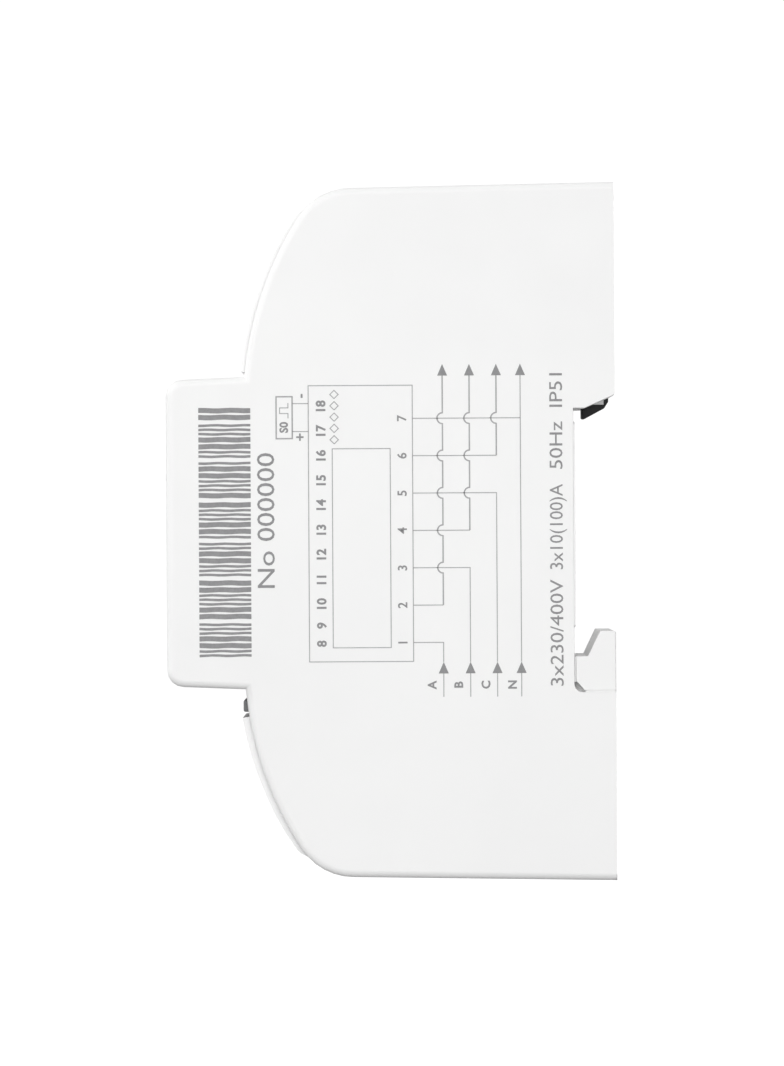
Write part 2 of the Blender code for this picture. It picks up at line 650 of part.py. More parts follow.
def slotted_screw(name, x, height, screw, radii, slot, sides):
    """A screw along Y: tip, neck and top depths, with a chamfered tip and a slotted head."""
    tip, neck, top = screw
    shank, head = radii
    below_head = [(tip, shank * 0.7), (tip + 0.5, shank), (neck, shank)]
    stations = below_head + [(neck, head), (top - 0.4, head), (top, head - 0.4)]
    made = shape(name, turned("Y", (x, height), stations, sides), origin=(x, -top, height))
    half_slot, deep = slot
    across = (x - head - 1.0, x + head + 1.0)
    return cut(made, "slot", box(across, (top - deep, top + 1.0), (height - half_slot, height + half_slot)))


def make_phase_bar(letter, x_in, x_out):
    """A flat U of copper that joins a phase's incoming and outgoing terminals."""
    low, high = BAR_Z
    outline = [
        (x_in - BAR_HALF, low),
        (x_in + BAR_HALF, low),
        (x_in + BAR_HALF, BAR_BRIDGE),
        (x_out - BAR_HALF, BAR_BRIDGE),
        (x_out - BAR_HALF, low),
        (x_out + BAR_HALF, low),
        (x_out + BAR_HALF, high),
        (x_in - BAR_HALF, high),
    ]
    return shape(f"phase_bar_{letter}", plate(outline, *BAR_DEPTH))


def make_transformer(letter, x):
    """A ring current transformer around one leg of a phase bar."""
    centre = (x, sum(BAR_DEPTH) / 2)
    low, high = RING_Z
    edge, chamfer = RING_OUTER - 0.5, 0.5
    stations = [(low, edge), (low + chamfer, RING_OUTER), (high - chamfer, RING_OUTER), (high, edge)]
    ring = shape(f"current_transformer_{letter}", turned("Z", centre, stations, 16))
    return cut(ring, "bore", turned("Z", centre, [(low - 1.0, RING_BORE), (high + 4.0, RING_BORE)], 12))


def make_case_screw(name, side, end):
    """A screw that holds the base to a boss of the housing, driven from the back."""
    tip, neck, top = CASE_SCREW
    at = (side * CASE_X, end * CASE_Z)
    shank = [(tip, CASE_SHANK - 0.5), (tip - 1.0, CASE_SHANK), (neck, CASE_SHANK)]
    head = [(neck, CASE_HEAD), (top + 0.3, CASE_HEAD), (top, CASE_HEAD - 0.4)]
    screw = shape(name, turned("Y", at, shank + head, 12))
    drive_x, drive_z = (at[0] - 1.8, at[0] + 1.8), (at[1] - 0.4, at[1] + 0.4)
    return cut(screw, "drive", box(drive_x, (BACK_DEPTH - 1.3, top + 0.8), drive_z))


def make_window():
    window = shape("display_window", box(WINDOW_X, WINDOW_DEPTH, WINDOW_Z))
    rim_x = (WINDOW_X[0] - WINDOW_RIM_X[0], WINDOW_X[1] + WINDOW_RIM_X[1])
    return join(window, "rim", box(rim_x, WINDOW_RIM_DEPTH, grown(WINDOW_Z, WINDOW_RIM_Z)))


def make_light_pipe():
    pipe = shape("led_light_pipe", box(PIPE_X, PIPE_DEPTH, PIPE_Z))
    lens_depth = (PIPE_DEPTH[1] - 1.3, FRONT_DEPTH - LABEL_DEEP)
    return join(pipe, "lenses", *[plate(diamond(x, LED_Z, LED_HALF_DIAGONAL), *lens_depth) for x in LED_X])


def make_label():
    depth = (FRONT_DEPTH - LABEL_DEEP + 0.05, FRONT_DEPTH)
    label = shape("front_label", box(grown(LABEL_X, -GAP), depth, grown(LABEL_Z, -GAP)))
    holes = [plate(diamond(x, LED_Z, LED_HALF_DIAGONAL + 0.1), *FRONT_CUT) for x in LED_X]
    return cut(label, "led_holes", *holes)


def make_terminals(meter, steel, copper, core):
    """Screws, cages, bars and current transformers, numbered in the meter's order."""
    for number, x in enumerate(MAIN_X, 1):
        finish(make_cage(number, x), steel, meter)
        radii = (MAIN_SHANK, MAIN_HEAD)
        screw = slotted_screw(f"main_screw_{number}", x, MAIN_HEIGHT, MAIN_SCREW, radii, MAIN_SLOT, 12)
        finish(screw, steel, meter)
    for index, letter in enumerate("abc"):
        x_in, x_out = MAIN_X[2 * index], MAIN_X[2 * index + 1]
        finish(make_phase_bar(letter, x_in, x_out), copper, meter)
        finish(make_transformer(letter, x_out), core, meter)
    neutral_x = (MAIN_X[-1] - BAR_HALF, MAIN_X[-1] + BAR_HALF)
    finish(shape("neutral_bar", box(neutral_x, BAR_DEPTH, BAR_Z)), copper, meter)
    for number, x in enumerate(AUX_X, MAIN_COUNT + 1):
        radii = (AUX_SHANK, AUX_HEAD)
        screw = slotted_screw(f"aux_screw_{number}", x, AUX_HEIGHT, AUX_SCREW, radii, AUX_SLOT, 10)
        finish(screw, steel, meter)


def make_model():
    for old in list(bpy.data.objects):
        bpy.data.objects.remove(old)
    white = material("white_plastic", (0.86, 0.86, 0.86), 0.4)
    black = material("black_plastic", (0.02, 0.02, 0.02), 0.45)
    grey = material("grey_plastic", (0.16, 0.16, 0.17), 0.5)
    clear = material("clear_plastic", (0.8, 0.85, 0.85), 0.08)
    lens = material("lens", (0.75, 0.1, 0.08), 0.2)
    copper = material("copper", (0.72, 0.38, 0.2), 0.3, 1.0)
    steel = material("plated_steel", (0.62, 0.62, 0.6), 0.3, 1.0)
    board = material("circuit_board", (0.03, 0.2, 0.08), 0.45)
    glass = material("lcd_glass", (0.4, 0.45, 0.36), 0.1)

    meter = bpy.data.objects.new("meter", None)
    bpy.context.scene.collection.objects.link(meter)

    finish(make_housing(), white, meter)
    finish(make_rear_base(), white, meter)
    finish(make_latch(), black, meter)
    finish(make_spring(), steel, meter)
    finish(make_main_block(), grey, meter)
    finish(make_aux_block(), grey, meter)
    finish(make_window(), clear, meter)
    finish(make_light_pipe(), lens, meter)
    finish(make_label(), white, meter)

    inside = {"board": board, "diffuser": white, "glass": glass, "component": black}
    for name, (kind, x, depth, z) in INNER_PIECES.items():
        finish(shape(name, box(x, depth, z)), inside[kind], meter)

    for end, along, cover in ((-1, "lower", LOWER_COVER), (1, "upper", UPPER_COVER)):
        finish(make_cover(f"{along}_terminal_cover", cover, end), white, meter)
        for side, across in ((-1, "left"), (1, "right")):
            finish(make_seal_screw(f"{along}_seal_screw_{across}", side, end), steel, meter)
            finish(make_case_screw(f"case_screw_{along}_{across}", side, end), steel, meter)

    make_terminals(meter, steel, copper, grey)


make_model()
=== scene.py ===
"""Looks of a three-phase electricity meter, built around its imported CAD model.

In the model's frame, X runs across the meter, the front faces -Y, the rail is at +Y and +Z is up. Lengths are
in millimetres unless they say metres, and MM scales them where a mesh is made.
"""

import math

import bmesh
import bpy
from mathutils import Matrix, Vector


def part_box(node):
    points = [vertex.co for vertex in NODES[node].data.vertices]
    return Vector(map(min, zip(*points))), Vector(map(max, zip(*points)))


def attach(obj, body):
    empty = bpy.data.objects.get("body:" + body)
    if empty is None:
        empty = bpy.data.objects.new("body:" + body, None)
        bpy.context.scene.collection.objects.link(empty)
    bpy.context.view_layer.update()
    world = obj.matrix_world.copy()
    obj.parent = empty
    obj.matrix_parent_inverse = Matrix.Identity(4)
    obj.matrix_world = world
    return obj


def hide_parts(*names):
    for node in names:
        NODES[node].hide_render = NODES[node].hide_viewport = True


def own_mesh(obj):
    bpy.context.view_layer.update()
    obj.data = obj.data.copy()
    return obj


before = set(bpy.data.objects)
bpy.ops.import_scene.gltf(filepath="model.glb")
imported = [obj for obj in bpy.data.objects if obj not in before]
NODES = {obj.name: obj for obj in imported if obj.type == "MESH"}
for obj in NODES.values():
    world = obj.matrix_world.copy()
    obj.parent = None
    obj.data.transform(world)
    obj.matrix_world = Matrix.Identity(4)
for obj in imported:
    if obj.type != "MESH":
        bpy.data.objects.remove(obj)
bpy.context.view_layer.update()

MM = 0.001
ROOT = "meter"


def node_box(name):
    """A CAD node's lowest and highest corners, in millimetres."""
    low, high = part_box(name)
    return low / MM, high / MM


def middle_of(node):
    low, high = node_box(node)
    return (low + high) / 2


HOUSING_LOW, HOUSING_HIGH = node_box("housing")
SIDE_X = HOUSING_HIGH.x
FRONT_Y = HOUSING_LOW.y
BACK_Y = HOUSING_HIGH.y
DECK_Y = -35.8
# The round shoulders that the terminal covers lie on: the upper arc's centre (y, z), and the radius of both
SHOULDER_CENTRE, SHOULDER_RADIUS = (4.0, 17.6), 51.6
# Each cover's end of the meter, the height of its free edge, and how far that edge stands proud
COVERS = {"upper": (1, 23.1, 0.5), "lower": (-1, 26.3, 1.0)}
# How thick the ink is, and how far its underside lies off the face, so that the two never share a plane
INK, INK_GAP = 0.03, 0.002
# The height of the font's capitals as a share of its size
CAPITAL_SHARE = 0.73
# The floor's half side and its depth below the meter, in metres
FLOOR_SIZE, FLOOR_DROP = 6.0, 0.03
# What the camera sees of the floor and of the surround, and the light that the surround gives to the meter
FLOOR_GLOW, SURROUND_SEEN, SURROUND = 0.88, 1.05, 0.5
# The camera's distance from the printed side and the height of its frame there, in metres, and its roll
CAMERA_DISTANCE, FRAME_HEIGHT, CAMERA_ROLL = 4.6, 0.15263, -0.33
# Each light is a name, a place, a side length and a power, in metres and watts
LIGHTS = (
    ("side", (1.8, -0.45, 0.12), 2.0, 39.5),
    ("front", (-0.35, -1.4, 0.7), 1.2, 9.5),
    ("top", (0.1, 0.2, 1.6), 1.6, 1.7),
    ("back", (-0.7, 1.6, 0.7), 1.4, 9.0),
)
MAIN_NUMBERS = range(1, 8)
AUX_NUMBERS = range(8, 19)
MAIN_ENTRY_Y, AUX_ENTRY_Y = -14.6, -25.0


# Node materials


class Shader:
    """A Principled material with helpers for its procedural inputs."""

    def __init__(self, name, roughness, metallic=0.0):
        self.material = bpy.data.materials.new(name)
        self.material.use_nodes = True
        self.nodes = self.material.node_tree.nodes
        self.links = self.material.node_tree.links
        self.bsdf = self.nodes["Principled BSDF"]
        self.bsdf.inputs["Roughness"].default_value = roughness
        self.bsdf.inputs["Metallic"].default_value = metallic
        self.place = self.nodes.new("ShaderNodeTexCoord").outputs["Object"]

    def link(self, source, target):
        self.links.new(source, target)
        return source

    def set(self, **values):
        for key, value in values.items():
            self.bsdf.inputs[key.replace("_", " ")].default_value = value
        return self

    def stretched(self, scale):
        mapping = self.nodes.new("ShaderNodeMapping")
        mapping.inputs["Scale"].default_value = scale
        self.link(self.place, mapping.inputs["Vector"])
        return mapping.outputs["Vector"]

    def noise(self, scale, detail=3.0, roughness=0.5, stretch=None):
        texture = self.nodes.new("ShaderNodeTexNoise")
        texture.inputs["Scale"].default_value = scale
        texture.inputs["Detail"].default_value = detail
        texture.inputs["Roughness"].default_value = roughness
        self.link(self.stretched(stretch) if stretch else self.place, texture.inputs["Vector"])
        return texture.outputs["Fac"]

    def cells(self, scale, feature="F1", output="Distance"):
        texture = self.nodes.new("ShaderNodeTexVoronoi")
        texture.feature = feature
        texture.inputs["Scale"].default_value = scale
        self.link(self.place, texture.inputs["Vector"])
        return texture.outputs[output]

    def ramp(self, value, stops):
        ramp = self.nodes.new("ShaderNodeValToRGB")
        elements = ramp.color_ramp.elements
        while len(elements) < len(stops):
            elements.new(0.5)
        for element, (at, colour) in zip(elements, stops):
            element.position = at
            element.color = (*colour, 1.0)
        self.link(value, ramp.inputs["Fac"])
        return ramp.outputs["Color"]

    def span(self, value, low, high, source=(0.3, 0.7)):
        mapped = self.nodes.new("ShaderNodeMapRange")
        mapped.inputs["From Min"].default_value = source[0]
        mapped.inputs["From Max"].default_value = source[1]
        mapped.inputs["To Min"].default_value = low
        mapped.inputs["To Max"].default_value = high
        self.link(value, mapped.inputs["Value"])
        return mapped.outputs["Result"]

    def mix(self, factor, first, second, blend="MIX"):
        mixed = self.nodes.new("ShaderNodeMix")
        mixed.data_type = "RGBA"
        mixed.blend_type = blend
        for value, socket in ((factor, 0), (first, 6), (second, 7)):
            if isinstance(value, bpy.types.NodeSocket):
                self.link(value, mixed.inputs[socket])
            elif socket:
                mixed.inputs[socket].default_value = (*value, 1.0)
            else:
                mixed.inputs[socket].default_value = value
        return mixed.outputs[2]

    def colour(self, value):
        self.link(value, self.bsdf.inputs["Base Color"])
        return self

    def rough(self, value):
        self.link(value, self.bsdf.inputs["Roughness"])
        return self

    def bump(self, *layers):
        """Bump layers, each (height, strength, distance in millimetres)."""
        normal = None
        for height, strength, distance in layers:
            bump = self.nodes.new("ShaderNodeBump")
            bump.inputs["Strength"].default_value = strength
            bump.inputs["Distance"].default_value = distance * MM
            self.link(height, bump.inputs["Height"])
            if normal:
                self.link(normal, bump.inputs["Normal"])
            normal = bump.outputs["Normal"]
        self.link(normal, self.bsdf.inputs["Normal"])
        return self


def moulded(name, light, dark, roughness, grain=4200.0, relief=0.35):
    """Moulded plastic: a spark-eroded grain, slow flow marks, and roughness that follows both."""
    shader = Shader(name, roughness)
    flow = shader.noise(22.0, 3.0)
    fine = shader.noise(grain, 2.0, 0.6)
    tint = shader.ramp(flow, [(0.35, dark), (0.65, light)])
    shader.colour(shader.mix(0.06, tint, shader.ramp(fine, [(0.3, dark), (0.7, light)])))
    shader.rough(shader.span(shader.noise(160.0, 4.0), roughness - 0.04, roughness + 0.05))
    shader.bump((flow, 0.06, 0.2), (fine, relief, 0.012))
    return shader


def metal(name, base, tint, roughness, stretch):
    """Plated or drawn metal: fine drawn lines, a cloudy tint and small scratches."""
    shader = Shader(name, roughness, metallic=1.0)
    cloud = shader.noise(260.0, 4.0)
    lines = shader.noise(900.0, 3.0, 0.6, stretch=stretch)
    shader.colour(shader.ramp(cloud, [(0.3, tint), (0.62, base)]))
    shader.rough(shader.span(lines, roughness - 0.08, roughness + 0.14))
    shader.bump((lines, 0.18, 0.01), (cloud, 0.08, 0.02))
    return shader


def board_material():
    """Circuit board: solder mask over copper tracks, with pads."""
    shader = Shader("circuit_board_looks", 0.34)
    tracks = shader.nodes.new("ShaderNodeTexBrick")
    tracks.inputs["Scale"].default_value = 190.0
    tracks.inputs["Mortar Size"].default_value = 0.02
    tracks.inputs["Color1"].default_value = (0.012, 0.12, 0.05, 1.0)
    tracks.inputs["Color2"].default_value = (0.02, 0.17, 0.075, 1.0)
    tracks.inputs["Mortar"].default_value = (0.04, 0.25, 0.11, 1.0)
    turned = shader.nodes.new("ShaderNodeMapping")
    turned.inputs["Rotation"].default_value = (math.radians(90), 0, 0)
    shader.link(shader.place, turned.inputs["Vector"])
    shader.link(turned.outputs["Vector"], tracks.inputs["Vector"])
    pads = shader.cells(420.0)
    pad_mask = shader.span(pads, 1.0, 0.0, source=(0.1, 0.16))
    shader.colour(shader.mix(pad_mask, tracks.outputs["Color"], (0.55, 0.52, 0.42)))
    shader.bump((tracks.outputs["Fac"], 0.3, 0.03))
    return shader


def lcd_material():
    """Liquid crystal glass: faint reflective grain under a smooth face."""
    shader = Shader("lcd_looks", 0.12)
    grain = shader.noise(2600.0, 2.0)
    sweep = shader.noise(14.0, 2.0)
    tone = shader.ramp(sweep, [(0.3, (0.30, 0.34, 0.26)), (0.7, (0.35, 0.39, 0.30))])
    speckle = shader.ramp(grain, [(0.3, (0.24, 0.28, 0.2)), (0.7, (0.42, 0.46, 0.36))])
    shader.colour(shader.mix(0.12, tone, speckle))
    shader.rough(shader.span(grain, 0.1, 0.16))
    shader.set(Coat_Weight=0.6, Coat_Roughness=0.04)
    return shader


def window_material():
    """Clear moulded window that shows the display behind it."""
    shader = Shader("window_looks", 0.05)
    ripple = shader.noise(35.0, 2.0)
    shader.colour(shader.ramp(ripple, [(0.3, (0.86, 0.9, 0.9)), (0.7, (0.92, 0.95, 0.95))]))
    shader.rough(shader.span(ripple, 0.03, 0.06))
    shader.bump((ripple, 0.05, 0.1))
    shader.set(Alpha=0.16, Specular_IOR_Level=0.9, IOR=1.49)
    return shader


def lens_material():
    """Red moulded lenses, a little cloudy inside."""
    shader = Shader("lens_looks", 0.14)
    depth = shader.noise(600.0, 3.0)
    shader.colour(shader.ramp(depth, [(0.3, (0.42, 0.02, 0.015)), (0.7, (0.66, 0.06, 0.04))]))
    shader.rough(shader.span(depth, 0.1, 0.2))
    shader.set(Coat_Weight=0.5, Coat_Roughness=0.05, Subsurface_Weight=0.25, Subsurface_Scale=0.0006)
    return shader


def ink_material(name, dark, light):
    """Marking on plastic: slightly patchy, as a laser leaves it."""
    shader = Shader(name, 0.6)
    patches = shader.noise(1500.0, 4.0, 0.7)
    shader.colour(shader.ramp(patches, [(0.32, dark), (0.68, light)]))
    shader.rough(shader.span(patches, 0.5, 0.7))
    shader.bump((patches, 0.3, 0.01))
    return shader


def wound_material():
    """Taped transformer winding."""
    shader = Shader("winding_looks", 0.45)
    turns = shader.noise(1200.0, 2.0, 0.5, stretch=(0.05, 1.0, 1.0))
    shader.colour(shader.ramp(turns, [(0.35, (0.02, 0.02, 0.022)), (0.65, (0.07, 0.065, 0.06))]))
    shader.bump((turns, 0.5, 0.05))
    return shader


def plastic(name, light, dark, roughness, **detail):
    return moulded(f"{name}_looks", light, dark, roughness, **detail).material


CASE = plastic("case", (0.885, 0.885, 0.882), (0.862, 0.862, 0.861), 0.42)
LATCH = plastic("latch", (0.011, 0.011, 0.012), (0.006, 0.006, 0.007), 0.5, relief=0.5)
BLOCK = plastic("block", (0.16, 0.164, 0.17), (0.125, 0.128, 0.133), 0.5, grain=2600.0, relief=0.6)
LABEL = plastic("label", (0.70, 0.72, 0.73), (0.67, 0.69, 0.70), 0.38, grain=6000.0, relief=0.15)
DIFFUSER = plastic("diffuser", (0.8, 0.82, 0.78), (0.74, 0.76, 0.72), 0.5)
MASK = plastic("mask", (0.028, 0.03, 0.032), (0.018, 0.02, 0.022), 0.4, grain=5200.0, relief=0.2)
EPOXY = plastic("epoxy", (0.022, 0.022, 0.024), (0.014, 0.014, 0.015), 0.5, grain=3000.0)
CAPACITOR = plastic("capacitor", (0.5, 0.1, 0.05), (0.42, 0.075, 0.04), 0.3)
STEEL = metal("steel_looks", (0.66, 0.66, 0.64), (0.56, 0.55, 0.50), 0.3, (1.0, 0.06, 1.0)).material
COPPER = metal("copper_looks", (0.78, 0.42, 0.25), (0.55, 0.26, 0.14), 0.3, (1.0, 1.0, 0.05)).material
BOARD = board_material().material
LCD = lcd_material().material
WINDOW = window_material().material
LENS = lens_material().material
WINDING = wound_material().material
INK_DARK = ink_material("ink_dark", (0.23, 0.23, 0.235), (0.30, 0.30, 0.305)).material
INK_LINE = ink_material("ink_line", (0.34, 0.34, 0.345), (0.42, 0.42, 0.425)).material
SEGMENTS = ink_material("segment_ink", (0.012, 0.014, 0.012), (0.03, 0.034, 0.028)).material
WHITE_INK = ink_material("white_ink", (0.6, 0.6, 0.58), (0.7, 0.7, 0.68)).material


# Mesh helpers

SMOOTH_BELOW = 35


def make(name, mesh, finish, body=ROOT, smooth=SMOOTH_BELOW):
    """A finished piece from a bmesh in millimetres."""
    bmesh.ops.transform(mesh, matrix=Matrix.Scale(MM, 4), verts=mesh.verts)
    data = bpy.data.meshes.new(name)
    mesh.to_mesh(data)
    mesh.free()
    data.materials.append(finish)
    shade(data, smooth)
    piece = bpy.data.objects.new(name, data)
    bpy.context.scene.collection.objects.link(piece)
    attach(piece, body)
    even_out(piece)
    return piece


def shade(data, smooth):
    """Smooth shading except across edges sharper than this many degrees, with no normals kept from before."""
    if "custom_normal" in data.attributes:
        data.attributes.remove(data.attributes["custom_normal"])
    data.shade_smooth()
    data.set_sharp_from_angle(angle=math.radians(smooth))


def even_out(piece):
    """Lets large faces set the shading at rounded edges, so that flat walls look flat."""
    modifier = piece.modifiers.new("even_normals", "WEIGHTED_NORMAL")
    modifier.keep_sharp = True


def add_prism(mesh, low_ring, high_ring):
    """A closed prism between two rings of points."""
    rings = [[mesh.verts.new(point) for point in ring] for ring in (low_ring, high_ring)]
    faces = [mesh.faces.new(rings[0]), mesh.faces.new(list(reversed(rings[1])))]
    for i in range(len(rings[0])):
        j = (i + 1) % len(rings[0])
        faces.append(mesh.faces.new((rings[0][i], rings[1][i], rings[1][j], rings[0][j])))
    bmesh.ops.recalc_face_normals(mesh, faces=faces)
    return faces


def add_bar(mesh, half, section):
    """A bar across the meter, from -half to half, whose section is a ring of (y, z)."""
    return add_prism(mesh, *([(x, y, z) for y, z in section] for x in (-half, half)))


def add_box(mesh, low, high):
    corners = ((low[0], low[2]), (high[0], low[2]), (high[0], high[2]), (low[0], high[2]))
    return add_prism(mesh, *([(x, y, z) for x, z in corners] for y in (low[1], high[1])))


def add_lathe(mesh, centre, axis, profile, sides=48):
    """A turned solid about a line along axis, "Y" or "Z". Profile points are (place along the axis, radius).

    A profile that ends where it began makes a closed ring. Any other is closed by a flat face at each end.
    """
    cx, cy, cz = centre
    rings = []
    for place, radius in profile:
        ring = []
        for i in range(sides):
            angle = 2 * math.pi * i / sides
            u, v = radius * math.cos(angle), radius * math.sin(angle)
            ring.append(mesh.verts.new((cx + u, place, cz + v) if axis == "Y" else (cx + u, cy + v, place)))
        rings.append(ring)
    faces = []
    closed_tube = profile[0] == profile[-1]
    if closed_tube:
        bmesh.ops.delete(mesh, geom=rings.pop(), context="VERTS")
        rings.append(rings[0])
    else:
        faces += [mesh.faces.new(rings[0]), mesh.faces.new(list(reversed(rings[-1])))]
    for low, high in zip(rings, rings[1:]):
        for i in range(sides):
            j = (i + 1) % sides
            faces.append(mesh.faces.new((low[i], high[i], high[j], low[j])))
    bmesh.ops.recalc_face_normals(mesh, faces=faces)
    return faces


def softened(node, finish, body, passes):
    """A CAD node's own shape with rounded edges. Each pass is (width in mm, segments, test of an edge)."""
    mesh = bmesh.new()
    mesh.from_mesh(NODES[node].data)
    bmesh.ops.transform(mesh, matrix=Matrix.Scale(1 / MM, 4), verts=mesh.verts)
    bmesh.ops.remove_doubles(mesh, verts=mesh.verts, dist=0.001)
    if passes:
        bmesh.ops.dissolve_limit(mesh, angle_limit=math.radians(0.6), verts=mesh.verts, edges=mesh.edges)
    for width, segments, wanted in passes:
        chosen = [edge for edge in mesh.edges if len(edge.link_faces) == 2 and wanted(edge)]
        bmesh.ops.bevel(
            mesh,
            geom=chosen,
            offset=width,
            offset_type="OFFSET",
            segments=segments,
            profile=0.5,
            affect="EDGES",
            clamp_overlap=False,
            loop_slide=True,
        )
    bmesh.ops.recalc_face_normals(mesh, faces=mesh.faces)
    piece = make(f"{node}_shell", mesh, finish, body, smooth=40)
    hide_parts(node)
    return piece


def turn_of(edge):
    """Angle between an edge's two faces, in degrees, positive where the edge is convex."""
    return math.degrees(edge.calc_face_angle_signed(0.0))


def sharp(edge, low=30.0):
    return turn_of(edge) > low


def on_side(edge, x, tolerance=0.02):
    return all(abs(abs(vert.co.x) - x) < tolerance for vert in edge.verts)


# Ink on flat faces


class Surface:
    """A flat face to print on: origin, and where u, v and outward point."""

    def __init__(self, origin, u, v):
        self.origin, self.u, self.v = Vector(origin), Vector(u), Vector(v)
        self.out = self.u.cross(self.v)

    def at(self, u, v, lift=0.0):
        return self.origin + self.u * u + self.v * v + self.out * lift

    def matrix(self, u, v, lift=0.0):
        place = self.at(u, v, lift)
        return Matrix(
            (
                (self.u.x, self.v.x, self.out.x, place.x),
                (self.u.y, self.v.y, self.out.y, place.y),
                (self.u.z, self.v.z, self.out.z, place.z),
                (0, 0, 0, 1),
            )
        )


def add_patch(mesh, surface, outline):
    """A thin raised patch of ink with this outline."""
    add_prism(mesh, *([surface.at(u, v, lift) for u, v in outline] for lift in (INK_GAP, INK_GAP + INK)))


def add_rectangle(mesh, surface, u, v):
    add_patch(mesh, surface, [(u[0], v[0]), (u[1], v[0]), (u[1], v[1]), (u[0], v[1])])


def add_stroke(mesh, surface, points, width):
    """A line of even width through these points, mitred at its corners."""
    path = [Vector(point) for point in points]
    left, right = [], []
    for i, point in enumerate(path):
        before = (point - path[i - 1]).normalized() if i else (path[1] - point).normalized()
        after = (path[i + 1] - point).normalized() if i < len(path) - 1 else before
        along = (before + after).normalized()
        across = Vector((-along.y, along.x)) * (width / 2 / max(0.5, along.dot(before)))
        left.append(point + across)
        right.append(point - across)
    for i in range(len(path) - 1):
        add_patch(mesh, surface, [left[i], right[i], right[i + 1], left[i + 1]])


def add_frame(mesh, surface, u, v, width):
    half = width / 2
    add_rectangle(mesh, surface, (u[0] - half, u[0] + half), (v[0] - half, v[1] + half))
    add_rectangle(mesh, surface, (u[1] - half, u[1] + half), (v[0] - half, v[1] + half))
    for at in v:
        add_rectangle(mesh, surface, (u[0] + half, u[1] - half), (at - half, at + half))


def add_text(mesh, surface, words, u, v, size, align="CENTER", weight=0.0, length=None):
    """Words centred on v that run along u. size is the capital height, and length sets how far they run."""
    curve = bpy.data.curves.new("words", "FONT")
    curve.body = words
    curve.size = size / CAPITAL_SHARE
    curve.align_x = align
    curve.align_y = "CENTER"
    curve.extrude = INK / 2
    curve.offset = weight
    curve.resolution_u = 3
    letters = bpy.data.objects.new("words", curve)
    bpy.context.scene.collection.objects.link(letters)
    bpy.context.view_layer.update()
    stretch = length / letters.dimensions.x if length else 1.0
    evaluated = letters.evaluated_get(bpy.context.evaluated_depsgraph_get())
    data = bpy.data.meshes.new_from_object(evaluated)
    part = bmesh.new()
    part.from_mesh(data)
    bmesh.ops.remove_doubles(part, verts=part.verts, dist=0.0005)
    placed = surface.matrix(u, v, INK_GAP + INK / 2) @ Matrix.Diagonal((stretch, 1, 1, 1))
    bmesh.ops.transform(part, matrix=placed, verts=part.verts)
    part.to_mesh(data)
    part.free()
    mesh.from_mesh(data)
    bpy.data.objects.remove(letters)
    bpy.data.curves.remove(curve)
    bpy.data.meshes.remove(data)


# The printed side wall. u runs up the meter (+Z) and v runs towards its front (-Y), as its words read.

SIDE = Surface((SIDE_X, 0, 0), (0, 0, 1), (0, -1, 0))

PLAN_FRONT, PLAN_BACK = 38.2, 23.3
PLAN_LOW, PLAN_HIGH = -18.5, 21.05
MAIN_TAP_FIRST, MAIN_TAP_PITCH = -15.8, 5.35
LINE_DEPTHS = {"A": 19.0, "B": 15.15, "C": 11.3, "N": 7.85}
LETTER_DEPTHS = {"A": 20.6, "B": 16.8, "C": 12.9, "N": 9.1}
ARROW_HALF, ARROW_LONG = 0.72, 1.65
LOW_ARROW, HIGH_ARROW, TAIL = -18.6, 24.05, -23.6
HOP_RADIUS = 0.78
THIN, THICK = 0.13, 0.2
# The plan's window and pulse output as spans of u and v, and its five lenses as small diamonds
PLAN_WINDOW = (-16.5, 12.0), (26.5, 34.8)
LENS_FIRST, LENS_PITCH, LENS_DEPTH, LENS_HALF = 13.3, 1.62, 34.5, 0.6
PULSE_BOX, PULSE_LEADS = ((13.5, 19.5), (40.5, 42.8)), (14.5, 18.5)
PULSE_WAVE = ((16.4, 41.1), (17.1, 41.1), (17.1, 42.3), (17.9, 42.3), (17.9, 41.1), (18.6, 41.1))
# The bar pattern's span along u and its narrowest bar, then its start in v, its bars' length and their steps
BARS_LOW, BARS_HIGH, NARROW_BAR = -17.7, 18.1, 0.36
BARS_BACK, BARS_LONG, BAR_STEPS = 46.5, 7.45, 8
# Words, u, v and capital height, then the stroke's extra weight or the length that the words fill
PULSE_WORDS = (("+", 13.7, 39.3, 1.5, 0.04), ("-", 19.6, 39.3, 1.5, 0.04), ("S0", 15.1, 41.65, 1.2, 0.05))
RATING_WORDS = (
    ("No 000000", 1.7, 44.2, 2.6, 19.3),
    ("3x230/400V", -14.6, 2.65, 1.95, 15.2),
    ("3x10(100)A", 0.6, 2.65, 1.95, 12.2),
    ("50Hz  IP51", 16.05, 2.65, 1.95, 13.7),
)


def main_tap(number):
    return MAIN_TAP_FIRST + MAIN_TAP_PITCH * (number - 1)


def add_arrow(mesh, depth, apex):
    tail = apex - ARROW_LONG
    add_patch(mesh, SIDE, [(apex, depth), (tail, depth + ARROW_HALF), (tail, depth - ARROW_HALF)])


def add_riser(mesh, depth, start, crossings):
    """A conductor's line up the plan, which hops over each line that it crosses."""
    points = [(start, depth)]
    for crossing in crossings:
        for i in range(9):
            angle = math.pi * i / 8
            points.append((crossing - HOP_RADIUS * math.cos(angle), depth + HOP_RADIUS * math.sin(angle)))
    points.append((HIGH_ARROW - ARROW_LONG, depth))
    add_stroke(mesh, SIDE, points, THICK)


